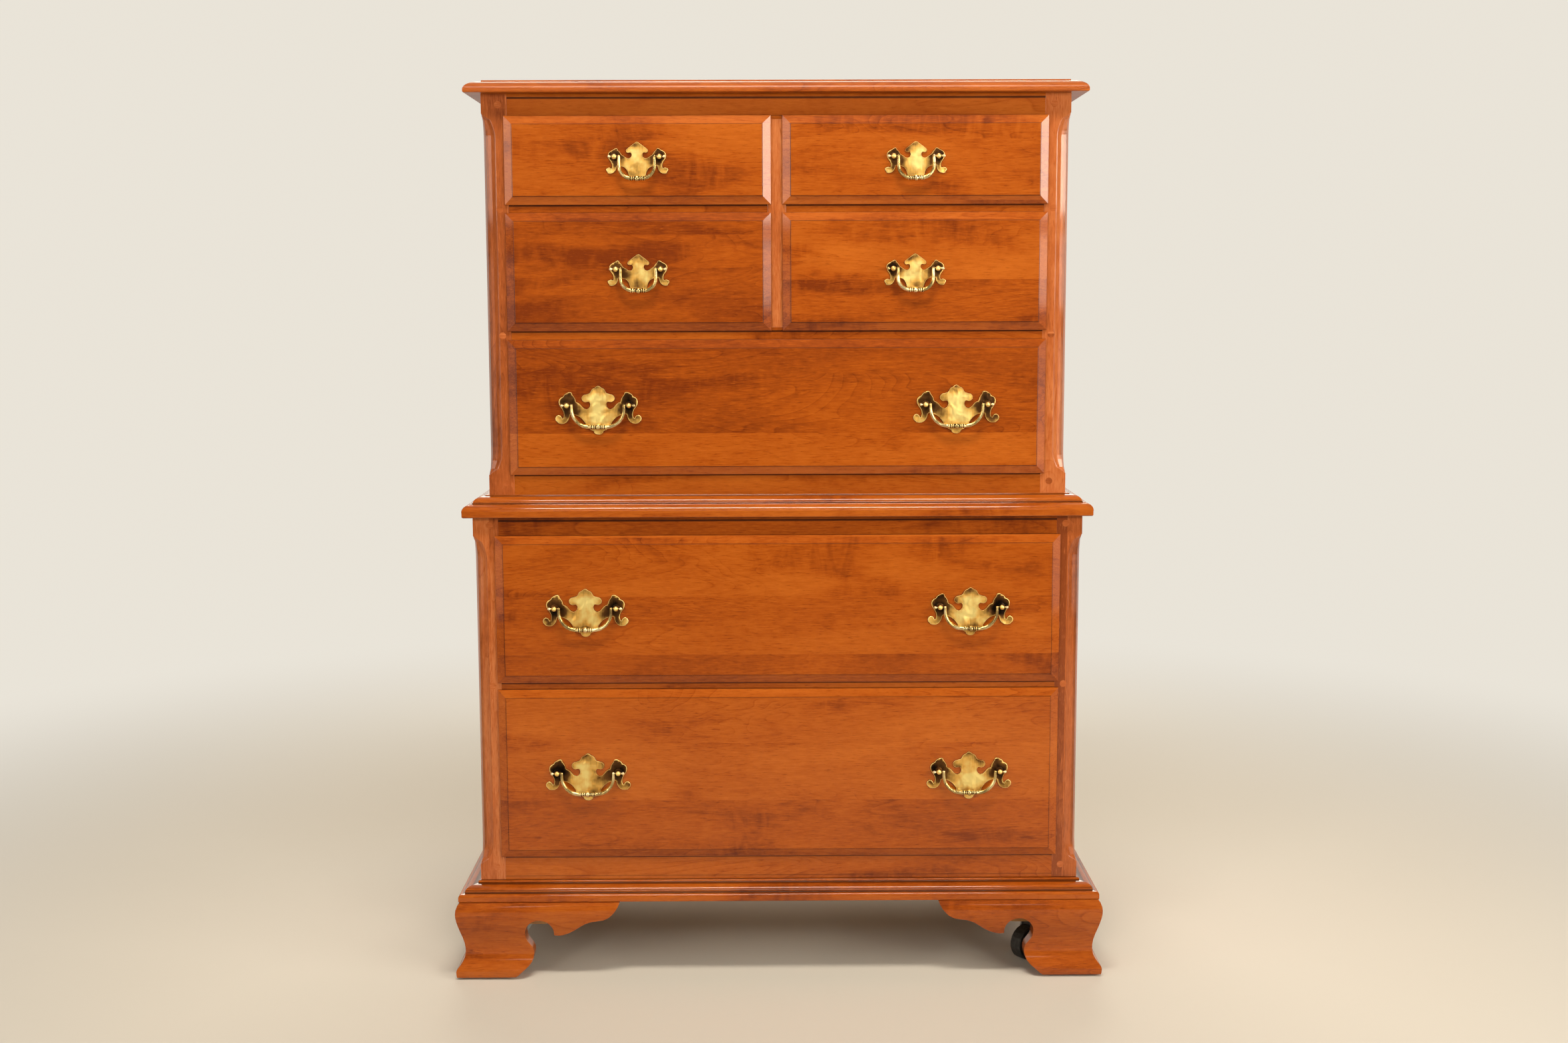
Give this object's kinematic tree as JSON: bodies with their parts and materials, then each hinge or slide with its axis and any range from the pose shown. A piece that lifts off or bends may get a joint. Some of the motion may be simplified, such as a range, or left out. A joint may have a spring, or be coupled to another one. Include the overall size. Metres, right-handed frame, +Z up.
{
  "type": "chest-on-chest",
  "caption": "Tall chest of drawers in stained wood: a narrower upper case on a wider lower case, lipped drawers with bail pulls, ogee bracket feet, hidden casters.",
  "frame": {"origin": "on the floor, under the middle of the whole piece's footprint, where the wheels stand", "axes": "+Z up, the drawer fronts face -Y, +X to the right for someone facing the drawers"},
  "size_m": [0.948, 0.535, 1.298],
  "materials": {
    "stained_wood": "satin",
    "drawer_lining": "matte",
    "back_panel": "matte",
    "pull_brass": "aged",
    "caster_steel": "satin",
    "wheel_rubber": "matte"
  },
  "bodies": {
    "case": {"top_board": "stained_wood", "upper_side_left": "stained_wood", "upper_side_right": "stained_wood", "upper_top_frame": "stained_wood", "upper_centre_divider": "stained_wood", "upper_lower_divider": "stained_wood", "upper_bottom_frame": "stained_wood", "upper_back": "back_panel", "waist_frame": "stained_wood", "lower_side_left": "stained_wood", "lower_side_right": "stained_wood", "lower_divider": "stained_wood", "base_frame": "stained_wood", "lower_back": "back_panel", "front_foot_left": "stained_wood", "front_foot_right": "stained_wood", "back_foot_left": "stained_wood", "back_foot_right": "stained_wood"},
    "drawer_top_left": {"drawer_top_left_front": "stained_wood", "drawer_top_left_box": "drawer_lining", "pull_top_left_plate": "pull_brass"},
    "drawer_top_right": {"drawer_top_right_front": "stained_wood", "drawer_top_right_box": "drawer_lining", "pull_top_right_plate": "pull_brass"},
    "drawer_second_left": {"drawer_second_left_front": "stained_wood", "drawer_second_left_box": "drawer_lining", "pull_second_left_plate": "pull_brass"},
    "drawer_second_right": {"drawer_second_right_front": "stained_wood", "drawer_second_right_box": "drawer_lining", "pull_second_right_plate": "pull_brass"},
    "drawer_third": {"drawer_third_front": "stained_wood", "drawer_third_box": "drawer_lining", "pull_third_left_plate": "pull_brass", "pull_third_right_plate": "pull_brass"},
    "drawer_fourth": {"drawer_fourth_front": "stained_wood", "drawer_fourth_box": "drawer_lining", "pull_fourth_left_plate": "pull_brass", "pull_fourth_right_plate": "pull_brass"},
    "drawer_bottom": {"drawer_bottom_front": "stained_wood", "drawer_bottom_box": "drawer_lining", "pull_bottom_left_plate": "pull_brass", "pull_bottom_right_plate": "pull_brass"},
    "bail_top_left": {"pull_top_left_bail": "pull_brass"},
    "bail_top_right": {"pull_top_right_bail": "pull_brass"},
    "bail_second_left": {"pull_second_left_bail": "pull_brass"},
    "bail_second_right": {"pull_second_right_bail": "pull_brass"},
    "bail_third_left": {"pull_third_left_bail": "pull_brass"},
    "bail_third_right": {"pull_third_right_bail": "pull_brass"},
    "bail_fourth_left": {"pull_fourth_left_bail": "pull_brass"},
    "bail_fourth_right": {"pull_fourth_right_bail": "pull_brass"},
    "bail_bottom_left": {"pull_bottom_left_bail": "pull_brass"},
    "bail_bottom_right": {"pull_bottom_right_bail": "pull_brass"},
    "caster_front_left_fork": {"caster_front_left_fork": "caster_steel"},
    "caster_front_left_wheel": {"caster_front_left_wheel": "wheel_rubber"},
    "caster_front_right_fork": {"caster_front_right_fork": "caster_steel"},
    "caster_front_right_wheel": {"caster_front_right_wheel": "wheel_rubber"},
    "caster_back_left_fork": {"caster_back_left_fork": "caster_steel"},
    "caster_back_left_wheel": {"caster_back_left_wheel": "wheel_rubber"},
    "caster_back_right_fork": {"caster_back_right_fork": "caster_steel"},
    "caster_back_right_wheel": {"caster_back_right_wheel": "wheel_rubber"}
  },
  "joints": [
    {"name": "drawer_top_left_slide", "type": "slide", "parent": "case", "child": "drawer_top_left", "axis": [0, -1, 0], "range_m": [0, 0.33]},
    {"name": "bail_top_left_hinge", "type": "hinge", "parent": "drawer_top_left", "child": "bail_top_left", "pos_m": [-0.197, -0.2306, 1.19025], "axis": [-1, 0, 0], "range_deg": [0, 95]},
    {"name": "drawer_top_right_slide", "type": "slide", "parent": "case", "child": "drawer_top_right", "axis": [0, -1, 0], "range_m": [0, 0.33]},
    {"name": "bail_top_right_hinge", "type": "hinge", "parent": "drawer_top_right", "child": "bail_top_right", "pos_m": [0.197, -0.2306, 1.19025], "axis": [-1, 0, 0], "range_deg": [0, 95]},
    {"name": "drawer_second_left_slide", "type": "slide", "parent": "case", "child": "drawer_second_left", "axis": [0, -1, 0], "range_m": [0, 0.33]},
    {"name": "bail_second_left_hinge", "type": "hinge", "parent": "drawer_second_left", "child": "bail_second_left", "pos_m": [-0.197, -0.2306, 1.03325], "axis": [-1, 0, 0], "range_deg": [0, 95]},
    {"name": "drawer_second_right_slide", "type": "slide", "parent": "case", "child": "drawer_second_right", "axis": [0, -1, 0], "range_m": [0, 0.33]},
    {"name": "bail_second_right_hinge", "type": "hinge", "parent": "drawer_second_right", "child": "bail_second_right", "pos_m": [0.197, -0.2306, 1.03325], "axis": [-1, 0, 0], "range_deg": [0, 95]},
    {"name": "drawer_third_slide", "type": "slide", "parent": "case", "child": "drawer_third", "axis": [0, -1, 0], "range_m": [0, 0.33]},
    {"name": "bail_third_left_hinge", "type": "hinge", "parent": "drawer_third", "child": "bail_third_left", "pos_m": [-0.25708, -0.2306, 0.84], "axis": [-1, 0, 0], "range_deg": [0, 95]},
    {"name": "bail_third_right_hinge", "type": "hinge", "parent": "drawer_third", "child": "bail_third_right", "pos_m": [0.25708, -0.2306, 0.84], "axis": [-1, 0, 0], "range_deg": [0, 95]},
    {"name": "drawer_fourth_slide", "type": "slide", "parent": "case", "child": "drawer_fourth", "axis": [0, -1, 0], "range_m": [0, 0.33]},
    {"name": "bail_fourth_left_hinge", "type": "hinge", "parent": "drawer_fourth", "child": "bail_fourth_left", "pos_m": [-0.27805, -0.2526, 0.549], "axis": [-1, 0, 0], "range_deg": [0, 95]},
    {"name": "bail_fourth_right_hinge", "type": "hinge", "parent": "drawer_fourth", "child": "bail_fourth_right", "pos_m": [0.27805, -0.2526, 0.549], "axis": [-1, 0, 0], "range_deg": [0, 95]},
    {"name": "drawer_bottom_slide", "type": "slide", "parent": "case", "child": "drawer_bottom", "axis": [0, -1, 0], "range_m": [0, 0.33]},
    {"name": "bail_bottom_left_hinge", "type": "hinge", "parent": "drawer_bottom", "child": "bail_bottom_left", "pos_m": [-0.27805, -0.2526, 0.306], "axis": [-1, 0, 0], "range_deg": [0, 95]},
    {"name": "bail_bottom_right_hinge", "type": "hinge", "parent": "drawer_bottom", "child": "bail_bottom_right", "pos_m": [0.27805, -0.2526, 0.306], "axis": [-1, 0, 0], "range_deg": [0, 95]},
    {"name": "caster_front_left_swivel", "type": "hinge", "parent": "case", "child": "caster_front_left_fork", "pos_m": [-0.39, -0.1755, 0.07], "axis": [0, 0, 1], "continuous": true},
    {"name": "caster_front_left_spin", "type": "hinge", "parent": "caster_front_left_fork", "child": "caster_front_left_wheel", "pos_m": [-0.40813, -0.18395, 0.025], "axis": [0.4226, -0.9063, 0], "continuous": true},
    {"name": "caster_front_right_swivel", "type": "hinge", "parent": "case", "child": "caster_front_right_fork", "pos_m": [0.39, -0.1755, 0.07], "axis": [0, 0, 1], "continuous": true},
    {"name": "caster_front_right_spin", "type": "hinge", "parent": "caster_front_right_fork", "child": "caster_front_right_wheel", "pos_m": [0.374, -0.1875, 0.025], "axis": [0.6, -0.8, 0], "continuous": true},
    {"name": "caster_back_left_swivel", "type": "hinge", "parent": "case", "child": "caster_back_left_fork", "pos_m": [-0.39, 0.1995, 0.07], "axis": [0, 0, 1], "continuous": true},
    {"name": "caster_back_left_spin", "type": "hinge", "parent": "caster_back_left_fork", "child": "caster_back_left_wheel", "pos_m": [-0.38653, 0.2192, 0.025], "axis": [-0.9848, 0.1736, 0], "continuous": true},
    {"name": "caster_back_right_swivel", "type": "hinge", "parent": "case", "child": "caster_back_right_fork", "pos_m": [0.39, 0.1995, 0.07], "axis": [0, 0, 1], "continuous": true},
    {"name": "caster_back_right_spin", "type": "hinge", "parent": "caster_back_right_fork", "child": "caster_back_right_wheel", "pos_m": [0.37853, 0.21588, 0.025], "axis": [-0.8192, -0.5736, 0], "continuous": true}
  ]
}
